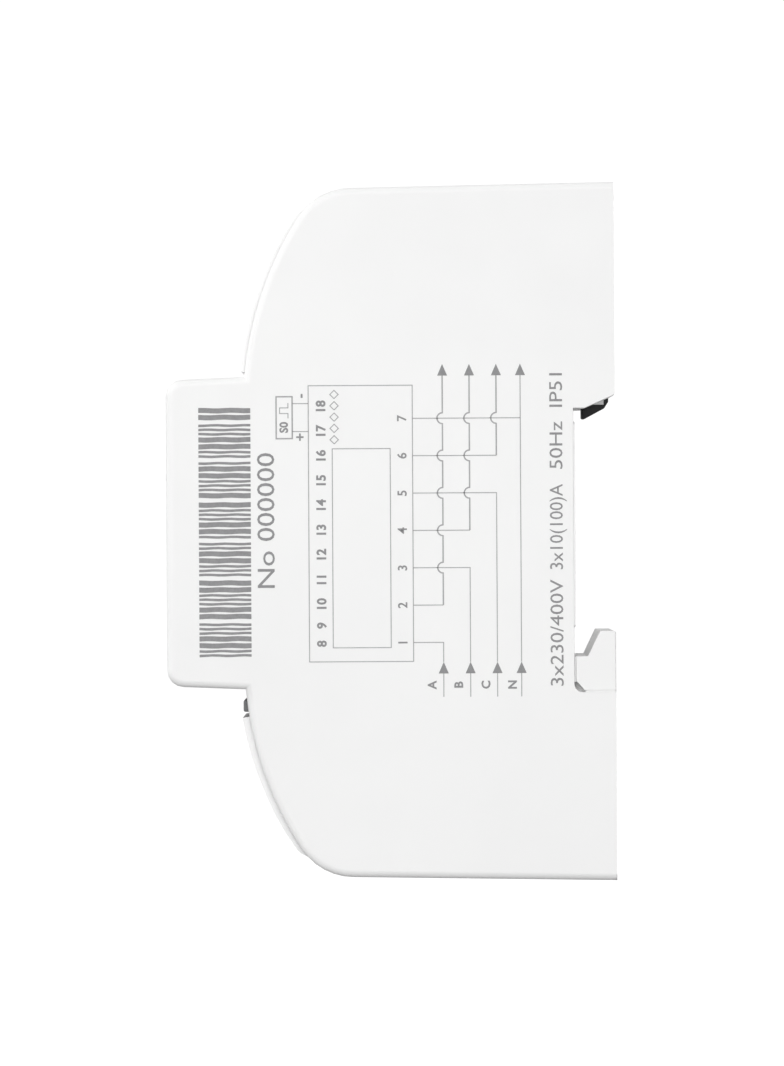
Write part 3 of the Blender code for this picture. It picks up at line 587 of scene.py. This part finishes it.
def print_wiring():
    lines, solid = bmesh.new(), bmesh.new()
    for depth in LINE_DEPTHS.values():
        add_arrow(solid, depth, LOW_ARROW)
        add_arrow(solid, depth, HIGH_ARROW)
        add_stroke(lines, SIDE, [(TAIL, depth), (LOW_ARROW - ARROW_LONG, depth)], THIN)
    for index, letter in enumerate("ABC"):
        depth = LINE_DEPTHS[letter]
        tap_out = 2 * index + 2
        way_in, way_out = main_tap(tap_out - 1), main_tap(tap_out)
        add_stroke(lines, SIDE, [(way_in, PLAN_BACK), (way_in, depth), (LOW_ARROW, depth)], THIN)
        add_stroke(lines, SIDE, [(way_out, PLAN_BACK), (way_out, depth)], THIN)
        add_riser(lines, depth, way_out, [main_tap(n) for n in range(tap_out + 1, 8)])
    neutral = LINE_DEPTHS["N"]
    add_stroke(lines, SIDE, [(main_tap(7), PLAN_BACK), (main_tap(7), neutral)], THIN)
    add_stroke(lines, SIDE, [(LOW_ARROW, neutral), (HIGH_ARROW - ARROW_LONG, neutral)], THIN)
    add_frame(lines, SIDE, (PLAN_LOW, PLAN_HIGH), (PLAN_BACK, PLAN_FRONT), THIN)
    add_frame(lines, SIDE, *PLAN_WINDOW, THIN)
    at, half = LENS_DEPTH, LENS_HALF
    for i in range(5):
        middle = LENS_FIRST + LENS_PITCH * i
        points = [(middle - half, at), (middle, at - half), (middle + half, at), (middle, at + half)]
        add_stroke(lines, SIDE, [*points, points[0]], THIN)
    add_frame(lines, SIDE, *PULSE_BOX, THICK)
    for lead in PULSE_LEADS:
        add_stroke(lines, SIDE, [(lead, PULSE_BOX[1][0]), (lead, PLAN_FRONT)], THIN)
    add_stroke(lines, SIDE, PULSE_WAVE, THIN)
    make("side_print_lines", lines, INK_LINE)
    return solid


def print_side():
    solid = print_wiring()
    for letter, depth in LETTER_DEPTHS.items():
        add_text(solid, SIDE, letter, -21.9, depth, 1.25, weight=0.05)
    for number in MAIN_NUMBERS:
        add_text(solid, SIDE, str(number), main_tap(number), 24.75, 1.35, weight=0.03)
    for number in AUX_NUMBERS:
        along = {8: -15.9, 9: -13.3}.get(number, -10.3 + 3.54 * (number - 10))
        add_text(solid, SIDE, str(number), along, 36.35, 1.35, weight=0.06)
    for words, u, v, size, weight in PULSE_WORDS:
        add_text(solid, SIDE, words, u, v, size, weight=weight)
    for words, u, v, size, length in RATING_WORDS:
        add_text(solid, SIDE, words, u, v, size, length=length)
    make("side_print_solid", solid, INK_DARK)


def print_barcode():
    """A generic bar pattern that encodes nothing: widths follow a formula, and the edges waver a little."""
    bars = bmesh.new()
    along, index = BARS_LOW, 0
    while along < BARS_HIGH - NARROW_BAR:
        bar = NARROW_BAR * (1 + (index * 7 % 5 in (1, 4)))
        space = NARROW_BAR * (0.72 + 1.0 * (index * 5 % 7 in (2,)))
        waver = [0.05 * math.sin(index * 1.7 + step * 1.35) for step in range(BAR_STEPS + 1)]
        across = [BARS_BACK + BARS_LONG * step / BAR_STEPS for step in range(BAR_STEPS + 1)]
        bottom = [(along + w, v) for w, v in zip(waver, across)]
        top = [(min(along + bar, BARS_HIGH) + w * 0.8, v) for w, v in zip(waver, across)]
        for i in range(BAR_STEPS):
            add_patch(bars, SIDE, [bottom[i], top[i], top[i + 1], bottom[i + 1]])
        along += bar + space
        index += 1
    make("side_print_bars", bars, INK_DARK)


# Front face. u runs across (+X) and v runs up (+Z).

FRONT = Surface((0, FRONT_Y, 0), (1, 0, 0), (0, 0, 1))
LCD_LOW, LCD_HIGH = node_box("lcd_panel")
LCD_FACE = Surface((0, LCD_LOW.y, 0), (1, 0, 0), (0, 0, 1))
LABEL_FACE = Surface((0, node_box("front_label")[0].y, 0), (1, 0, 0), (0, 0, 1))

DIGIT_SEGMENTS = {
    "0": "abcdef",
    "1": "bc",
    "2": "abdeg",
    "3": "abcdg",
    "4": "bcfg",
    "5": "acdfg",
    "6": "acdefg",
    "7": "abc",
    "8": "abcdefg",
    "9": "abcdfg",
}


def add_digit(mesh, digit, u, v, wide, high):
    """A seven-segment digit whose lower left corner is at (u, v), leaning a little."""
    stroke, gap, lean = wide * 0.23, wide * 0.03, 0.1
    half = high / 2

    def place(x, y):
        return (u + x + y * lean, v + y)

    def bar(x0, x1, y):
        ends = (x0 + gap, y), (x0 + gap + stroke / 2, y - stroke / 2), (x1 - gap - stroke / 2, y - stroke / 2)
        back = (x1 - gap, y), (x1 - gap - stroke / 2, y + stroke / 2), (x0 + gap + stroke / 2, y + stroke / 2)
        add_patch(mesh, LCD_FACE, [place(*point) for point in ends + back])

    def post(x, y0, y1):
        ends = (x, y0 + gap), (x + stroke / 2, y0 + gap + stroke / 2), (x + stroke / 2, y1 - gap - stroke / 2)
        back = (x, y1 - gap), (x - stroke / 2, y1 - gap - stroke / 2), (x - stroke / 2, y0 + gap + stroke / 2)
        add_patch(mesh, LCD_FACE, [place(*point) for point in ends + back])

    drawn = {
        "a": lambda: bar(0, wide, high),
        "b": lambda: post(wide, half, high),
        "c": lambda: post(wide, 0, half),
        "d": lambda: bar(0, wide, 0),
        "e": lambda: post(0, 0, half),
        "f": lambda: post(0, half, high),
        "g": lambda: bar(0, wide, half),
    }
    for segment in DIGIT_SEGMENTS[digit]:
        drawn[segment]()


def print_display():
    ink = bmesh.new()
    reading, wide, high, pitch = "00123456", 4.6, 9.2, 7.4
    left, low = -46.0, -5.2
    for index, digit in enumerate(reading):
        add_digit(ink, digit, left + pitch * index + (1.2 if index >= 6 else 0), low, wide, high)
    point = left + pitch * 6 - 1.1
    add_rectangle(ink, LCD_FACE, (point, point + 0.9), (low - 0.45, low + 0.45))
    add_text(ink, LCD_FACE, "kWh", 21.5, low + 0.9, 3.0, weight=0.06)
    for index, letter in enumerate("ABC"):
        add_text(ink, LCD_FACE, letter, -44.0 + 7.5 * index, 7.4, 1.9, weight=0.04)
        tip = -41.6 + 7.5 * index
        add_patch(ink, LCD_FACE, [(tip, 6.6), (tip + 1.5, 7.4), (tip, 8.2)])
    for index in range(4):
        add_frame(ink, LCD_FACE, (5.0 + 5.5 * index, 8.6 + 5.5 * index), (6.6, 8.3), 0.22)
    make("lcd_segments", ink, SEGMENTS)


def make_display_mask():
    """The dark printed border behind the window, around the display."""
    low, high = node_box("display_window")
    front = low.y + 3.7
    mask = bmesh.new()
    outer = (low.x + 0.9, high.x - 0.9, low.z + 0.9, high.z - 0.9)
    inner = (LCD_LOW.x + 1.6, LCD_HIGH.x - 1.6, LCD_LOW.z + 1.4, LCD_HIGH.z - 1.4)
    rings = []
    for at in (front, front + 1.6):
        for x0, x1, z0, z1 in (outer, inner):
            corners = (x0, z0), (x1, z0), (x1, z1), (x0, z1)
            rings.append([mask.verts.new((x, at, z)) for x, z in corners])
    outer_front, inner_front, outer_back, inner_back = rings
    for first, second in (
        (outer_front, inner_front),
        (inner_front, inner_back),
        (inner_back, outer_back),
        (outer_back, outer_front),
    ):
        for i in range(4):
            j = (i + 1) % 4
            mask.faces.new((first[i], first[j], second[j], second[i]))
    bmesh.ops.recalc_face_normals(mask, faces=mask.faces)
    make("display_mask", mask, MASK)


def print_front():
    ink = bmesh.new()
    for number in MAIN_NUMBERS:
        middle = middle_of(f"main_screw_{number}").x
        add_text(ink, FRONT, str(number), middle, -17.6, 2.0, weight=0.03)
    for number in AUX_NUMBERS:
        middle = middle_of(f"aux_screw_{number}").x
        add_text(ink, FRONT, str(number), middle, 17.6, 1.9, weight=0.03)
    words = bmesh.new()
    for index, word in enumerate(("A", "B", "C", "IMP", "RUN")):
        middle = 37.1 + 4.97 * index
        add_text(words, LABEL_FACE, word, middle, 8.0, 1.1 if len(word) > 1 else 1.3)
    add_text(words, LABEL_FACE, "ENERGY METER", 47.05, 3.4, 1.7, length=19.0)
    add_stroke(words, LABEL_FACE, [(37.2, 1.4), (56.9, 1.4)], 0.15)
    for index, line in enumerate(("3x230/400V  50Hz", "3x10(100)A", "1000 imp/kWh")):
        add_text(words, LABEL_FACE, line, 37.3, -0.9 - 2.6 * index, 1.25, align="LEFT")
    add_text(words, LABEL_FACE, "No 000000", 37.3, -9.6, 1.25, align="LEFT")
    make("front_numbers", ink, INK_DARK)
    make("label_print", words, INK_DARK)


# Screws, rims and other turned detail


def screw_piece(node, body, head, shank, head_long, pitch, cross=False, from_back=False):
    """A screw with a domed, slotted head and a threaded shank, in the space of its CAD solid.

    head and shank are radii. cross adds a second slot, and from_back puts the head at the back.
    """
    low, high = node_box(node)
    cx, cz = (low.x + high.x) / 2, (low.z + high.z) / 2
    top, way = (high.y, -1) if from_back else (low.y, 1)
    length = high.y - low.y
    core = shank * 0.84
    profile = [(0.0, 0.02), (0.02, head * 0.6), (0.12, head * 0.86), (0.3, head * 0.94), (0.55, head)]
    profile += [(head_long - 0.15, head), (head_long, head - 0.15), (head_long, core)]
    at = head_long + 0.3
    while at + pitch < length - 0.4:
        profile += [(at, core), (at + pitch * 0.42, shank), (at + pitch * 0.58, shank)]
        at += pitch
    profile += [(length - 0.35, core), (length, core * 0.72), (length, 0.02)]
    mesh = bmesh.new()
    add_lathe(mesh, (cx, 0, cz), "Y", [(top + way * place, radius) for place, radius in profile], sides=40)
    piece = make(f"{node}_turned", mesh, STEEL, body)
    outside, deep = top - way, top + way * min(1.25, head_long * 0.5)
    slot = bmesh.new()
    add_box(slot, (cx - head - 1, outside, cz - head * 0.17), (cx + head + 1, deep, cz + head * 0.17))
    carve(piece, "slot", slot)
    if cross:
        upright = bmesh.new()
        shallow = deep - way * 0.1
        half, long = head * 0.15, head * 0.62
        add_box(upright, (cx - half, outside, cz - long), (cx + half, shallow, cz + long))
        carve(piece, "cross", upright)
    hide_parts(node)
    return piece


def carve(piece, label, tool):
    """Cuts a bmesh in millimetres out of a finished piece, and applies the cut."""
    bmesh.ops.transform(tool, matrix=Matrix.Scale(MM, 4), verts=tool.verts)
    data = bpy.data.meshes.new(label)
    tool.to_mesh(data)
    tool.free()
    helper = bpy.data.objects.new(label, data)
    bpy.context.scene.collection.objects.link(helper)
    piece.modifiers.clear()
    modifier = piece.modifiers.new(label, "BOOLEAN")
    modifier.operation = "DIFFERENCE"
    modifier.solver = "EXACT"
    modifier.object = helper
    bpy.context.view_layer.update()
    evaluated = piece.evaluated_get(bpy.context.evaluated_depsgraph_get())
    result = bpy.data.meshes.new_from_object(evaluated)
    old = piece.data
    piece.modifiers.clear()
    result.name = piece.name
    piece.data = result
    shade(result, SMOOTH_BELOW)
    even_out(piece)
    bpy.data.meshes.remove(old)
    bpy.data.objects.remove(helper)
    bpy.data.meshes.remove(data)


def make_screws():
    for number in MAIN_NUMBERS:
        screw_piece(f"main_screw_{number}", f"main_screw_{number}", 3.25, 2.4, 2.5, 0.9, cross=True)
    for number in AUX_NUMBERS:
        screw_piece(f"aux_screw_{number}", f"aux_screw_{number}", 1.8, 1.12, 2.0, 0.5)
    for end in COVERS:
        for side in ("left", "right"):
            name = f"{end}_seal_screw_{side}"
            screw_piece(name, name, 2.5, 1.4, 2.6, 0.7)
            screw_piece(f"case_screw_{end}_{side}", ROOT, 2.55, 1.4, 2.0, 0.8, cross=True, from_back=True)


def make_rims():
    """Round collars that line the cable and wire entries: they're part of the housing's moulding."""
    rims = bmesh.new()
    main = [(-47.9, 4.1), (-49.35, 4.1), (-49.63, 4.38), (-49.63, 5.0), (-49.3, 5.0), (-47.9, 4.1)]
    aux = [(47.9, 1.82), (49.2, 1.82), (49.42, 2.04), (49.42, 2.4), (49.1, 2.4), (47.9, 1.82)]
    for kind, numbers, y, profile, sides in (
        ("main", MAIN_NUMBERS, MAIN_ENTRY_Y, main, 64),
        ("aux", AUX_NUMBERS, AUX_ENTRY_Y, aux, 40),
    ):
        for number in numbers:
            add_lathe(rims, (middle_of(f"{kind}_screw_{number}").x, y, 0), "Z", profile, sides)
    make("entry_rims", rims, CASE)


def make_channel_edges():
    """Thin lands that close the joint between the base and the housing along the rail channel."""
    lands = bmesh.new()
    for side in (-1, 1):
        for reach, y, z in (
            ((58.75, 60.9), (-0.28, -0.02), (-13.5, 15.4)),
            ((58.0, 60.45), (-0.28, -0.03), (-21.6, -18.0)),
            ((58.0, 60.45), (1.3, 5.6), (-23.03, -22.78)),
        ):
            xs = sorted(side * x for x in reach)
            add_box(lands, (xs[0], y[0], z[0]), (xs[1], y[1], z[1]))
    make("channel_edges", lands, CASE)


def make_decks():
    """The terminal decks' collars around the driver holes, barriers between terminals, and numbers."""
    relief, ink = bmesh.new(), bmesh.new()
    deck = Surface((0, DECK_Y, 0), (1, 0, 0), (0, 0, 1))
    main_x = [middle_of(f"main_screw_{number}").x for number in MAIN_NUMBERS]
    aux_x = [middle_of(f"aux_screw_{number}").x for number in AUX_NUMBERS]
    collar = [(1.9, 2.92), (-0.05, 2.92), (-0.15, 3.05), (-0.15, 3.5), (-0.05, 3.6), (0.5, 3.6), (1.9, 2.92)]
    for number, cx in zip(MAIN_NUMBERS, main_x):
        add_lathe(relief, (cx, 0, -38.0), "Y", [(DECK_Y + out, radius) for out, radius in collar], sides=56)
        add_text(ink, deck, str(number), cx, -27.3, 1.8, weight=0.02)
    for number, cx in zip(AUX_NUMBERS, aux_x):
        add_text(ink, deck, str(number), cx, 36.1, 1.6, weight=0.02)
    for xs, thick, front, z in ((main_x, 1.1, 38.3, (-42.0, -33.8)), (aux_x, 0.8, 37.4, (37.4, 42.6))):
        for before, after in zip(xs, xs[1:]):
            middle = (before + after) / 2
            add_box(relief, (middle - thick / 2, -front, z[0]), (middle + thick / 2, DECK_Y + 0.4, z[1]))
    make("deck_relief", relief, BLOCK)
    make("deck_numbers", ink, WHITE_INK)


def make_spring():
    """The latch's coil: round wire with close end turns, made at one length as tall as the CAD spring, though
    the real one shortens upwards as the latch slides up.
    """
    low, high = node_box("latch_spring")
    wire, coil, axis_y = 0.3, 1.45, 3.0
    turns, sides = 7, 12
    steps = turns * 28
    mesh = bmesh.new()
    rings = []
    for i in range(steps + 1):
        share = i / steps
        # The first and last turns lie almost flat, as ground ends do
        eased = min(1.0, max(0.0, (share * turns - 0.7) / (turns - 1.4)))
        rise = 0.035 * share + 0.965 * eased
        angle = 2 * math.pi * turns * share
        outward = Vector((math.cos(angle), math.sin(angle), 0))
        centre = Vector((0, axis_y, low.z + wire + (high.z - low.z - 2 * wire) * rise)) + outward * coil
        ring = []
        for k in range(sides):
            turn = 2 * math.pi * k / sides
            upward = Vector((0, 0, wire * math.sin(turn)))
            ring.append(mesh.verts.new(centre + outward * (wire * math.cos(turn)) + upward))
        rings.append(ring)
    mesh.faces.new(rings[0])
    mesh.faces.new(list(reversed(rings[-1])))
    for first, second in zip(rings, rings[1:]):
        for k in range(sides):
            n = (k + 1) % sides
            mesh.faces.new((first[k], second[k], second[n], first[n]))
    bmesh.ops.recalc_face_normals(mesh, faces=mesh.faces)
    piece = make("latch_spring_coil", mesh, STEEL)
    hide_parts("latch_spring")
    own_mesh(piece)


# Shells and carried-over nodes

GROOVE = 0.62


def make_housing_shell():
    """Rounds the housing's outer edges. Its notch for the rail and its back edges stay crisp."""

    def outer(edge):
        along_notch = all(vert.co.y > -0.5 and -23.2 < vert.co.z < 19.8 for vert in edge.verts)
        along_back = all(vert.co.y > BACK_Y - 0.01 for vert in edge.verts)
        return on_side(edge, SIDE_X) and turn_of(edge) > 25 and not along_notch and not along_back

    return softened("housing", CASE, ROOT, [(1.0, 4, outer)])


def make_covers():
    """The covers' own shapes, with four shallow grooves for a fingertip near each free edge."""
    for name, (end, edge_z, proud) in COVERS.items():
        piece = softened(f"{name}_terminal_cover", CASE, f"{name}_cover", [])
        first = math.degrees(math.asin((edge_z - SHOULDER_CENTRE[1]) / SHOULDER_RADIUS))
        grooves = bmesh.new()
        for index in range(4):
            angle = math.radians(first + 4.0 + 2.4 * index)
            radius = SHOULDER_RADIUS + proud + 0.12
            y = SHOULDER_CENTRE[0] - radius * math.cos(angle)
            z = end * (SHOULDER_CENTRE[1] + radius * math.sin(angle))
            turns = [math.pi * k / 6 for k in range(12)]
            ring = [(y + GROOVE * math.cos(turn), z + GROOVE * math.sin(turn)) for turn in turns]
            add_bar(grooves, 13.0, ring)
        carve(piece, "grip", grooves)


def make_latch():
    """The latch with broken edges, and three ribs where a screwdriver or a finger pulls it."""

    def edges(edge):
        return sharp(edge, 40) and edge.calc_length() > 1.0

    softened("din_latch", LATCH, "latch", [(0.15, 2, edges)])
    ribs = bmesh.new()
    for z in (38.6, 39.4, 40.2):
        ring = [(-0.2, 0.0), (-0.15, 0.28), (0.0, 0.36), (0.15, 0.28), (0.2, 0.0), (0.0, -0.3)]
        section = [(5.05 + out, z + up) for up, out in ring]
        add_bar(ribs, 5.5, section)
    make("latch_grip_ribs", ribs, LATCH, "latch")


def make_base():
    """The base with broken outer edges, and the round marks that ejector pins leave on its back."""

    def edges(edge):
        return sharp(edge, 40) and edge.calc_length() > 2.5 and all(vert.co.y > 4.5 for vert in edge.verts)

    piece = softened("rear_base", CASE, ROOT, [(0.25, 2, edges)])
    marks = bmesh.new()
    for x in (-36.0, 36.0):
        for z in (-36.0, 36.0):
            add_lathe(marks, (x, 0, z), "Y", [(5.55, 2.4), (6.2, 2.4)], sides=40)
    for x in (-22.0, 22.0):
        add_lathe(marks, (x, 0, -40.0), "Y", [(5.55, 1.3), (6.2, 1.3)], sides=32)
    carve(piece, "ejector_marks", marks)


def make_blocks():
    """Broken edges on the terminal blocks and on the parts inside."""

    block_side = node_box("main_terminal_block")[1].x

    def rim(edge):
        return on_side(edge, block_side) and sharp(edge, 40) and edge.calc_length() > 1.5

    def longer(length):
        return lambda edge: sharp(edge, 60) and edge.calc_length() > length

    for node in ("main_terminal_block", "aux_terminal_block"):
        softened(node, BLOCK, ROOT, [(0.25, 2, rim)])
    for number in MAIN_NUMBERS:
        name = f"main_cage_{number}"
        softened(name, STEEL, name, [(0.3, 3, longer(4.0))])
    for node, finish, width, segments in (
        ("phase_bar_a", COPPER, 0.2, 2),
        ("phase_bar_b", COPPER, 0.2, 2),
        ("phase_bar_c", COPPER, 0.2, 2),
        ("neutral_bar", COPPER, 0.2, 2),
        ("supply_capacitor", CAPACITOR, 1.0, 4),
        ("supply_transformer", WINDING, 0.8, 3),
        ("measuring_chip", EPOXY, 0.12, 2),
        ("pulse_coupler", EPOXY, 0.15, 2),
    ):
        softened(node, finish, ROOT, [(width, segments, longer(0.0))])
    softened("front_label", LABEL, ROOT, [(0.1, 2, longer(10.0))])


def paint(finish, *nodes):
    for node in nodes:
        for slot in NODES[node].material_slots:
            slot.material = finish


def paint_nodes():
    paint(WINDOW, "display_window")
    paint(LENS, "led_light_pipe")
    paint(DIFFUSER, "lcd_backlight")
    paint(LCD, "lcd_panel")
    paint(BOARD, "display_board", "measuring_board", "riser_board")
    paint(WINDING, *[f"current_transformer_{letter}" for letter in "abc"])


# Stage


def make_stage():
    """A pale floor below the meter, a white surround and four large soft lights."""
    mesh = bmesh.new()
    bmesh.ops.create_grid(mesh, x_segments=1, y_segments=1, size=FLOOR_SIZE)
    data = bpy.data.meshes.new("floor")
    mesh.to_mesh(data)
    mesh.free()
    floor = bpy.data.objects.new("floor", data)
    floor.location = (0, 0, HOUSING_LOW.z * MM - FLOOR_DROP)
    bpy.context.scene.collection.objects.link(floor)
    shader = Shader("floor_looks", 0.9)
    shader.colour(shader.ramp(shader.noise(3.0, 2.0), [(0.3, (0.40, 0.40, 0.40)), (0.7, (0.42, 0.42, 0.42))]))
    # Like the surround, the floor looks brighter than the light that it gives back
    seen_light = shader.nodes.new("ShaderNodeLightPath").outputs["Is Camera Ray"]
    glow = shader.nodes.new("ShaderNodeMath")
    glow.operation = "MULTIPLY"
    glow.inputs[1].default_value = FLOOR_GLOW
    shader.link(seen_light, glow.inputs[0])
    shader.link(glow.outputs["Value"], shader.bsdf.inputs["Emission Strength"])
    shader.set(Emission_Color=(1.0, 1.0, 1.0, 1.0))
    data.materials.append(shader.material)

    # The surround is white to look at, and gives less light than it shows, so that edges keep their shading.
    world = bpy.data.worlds.new("studio")
    world.use_nodes = True
    nodes, links = world.node_tree.nodes, world.node_tree.links
    seen, given = nodes["Background"], nodes.new("ShaderNodeBackground")
    seen.inputs["Color"].default_value = given.inputs["Color"].default_value = (1.0, 1.0, 1.0, 1.0)
    seen.inputs["Strength"].default_value = SURROUND_SEEN
    given.inputs["Strength"].default_value = SURROUND
    chooser = nodes.new("ShaderNodeMixShader")
    links.new(nodes.new("ShaderNodeLightPath").outputs["Is Camera Ray"], chooser.inputs["Fac"])
    links.new(given.outputs["Background"], chooser.inputs[1])
    links.new(seen.outputs["Background"], chooser.inputs[2])
    links.new(chooser.outputs["Shader"], nodes["World Output"].inputs["Surface"])
    bpy.context.scene.world = world
    bpy.context.scene.view_settings.view_transform = "Standard"

    target = Vector((0.0, -0.026, 0.0))
    for name, place, wide, power in LIGHTS:
        lamp = bpy.data.lights.new(name, "AREA")
        lamp.shape = "SQUARE"
        lamp.size = wide
        lamp.energy = power
        holder = bpy.data.objects.new(name, lamp)
        holder.location = place
        holder.rotation_euler = (target - Vector(place)).to_track_quat("-Z", "Y").to_euler()
        bpy.context.scene.collection.objects.link(holder)


def make_camera():
    """A long lens, square to the printed side, with the whole side in a tall frame and a slight roll."""
    camera = bpy.data.cameras.new("camera")
    camera.sensor_fit = "VERTICAL"
    camera.sensor_height = 36.0
    camera.lens = camera.sensor_height * CAMERA_DISTANCE / FRAME_HEIGHT
    camera.clip_end = 50.0
    holder = bpy.data.objects.new("camera", camera)
    holder.location = (SIDE_X * MM + CAMERA_DISTANCE, -0.0263, -0.0001)
    roll = Matrix.Rotation(math.radians(CAMERA_ROLL), 4, "Z")
    facing = Vector((-1, 0, 0)).to_track_quat("-Z", "Y").to_matrix().to_4x4()
    holder.rotation_euler = (facing @ roll).to_euler()
    bpy.context.scene.collection.objects.link(holder)
    bpy.context.scene.camera = holder


make_camera()
make_stage()
make_housing_shell()
make_covers()
make_latch()
make_base()
make_blocks()
paint_nodes()
make_display_mask()
print_side()
print_barcode()
print_display()
print_front()
make_screws()
make_rims()
make_channel_edges()
make_decks()
make_spring()
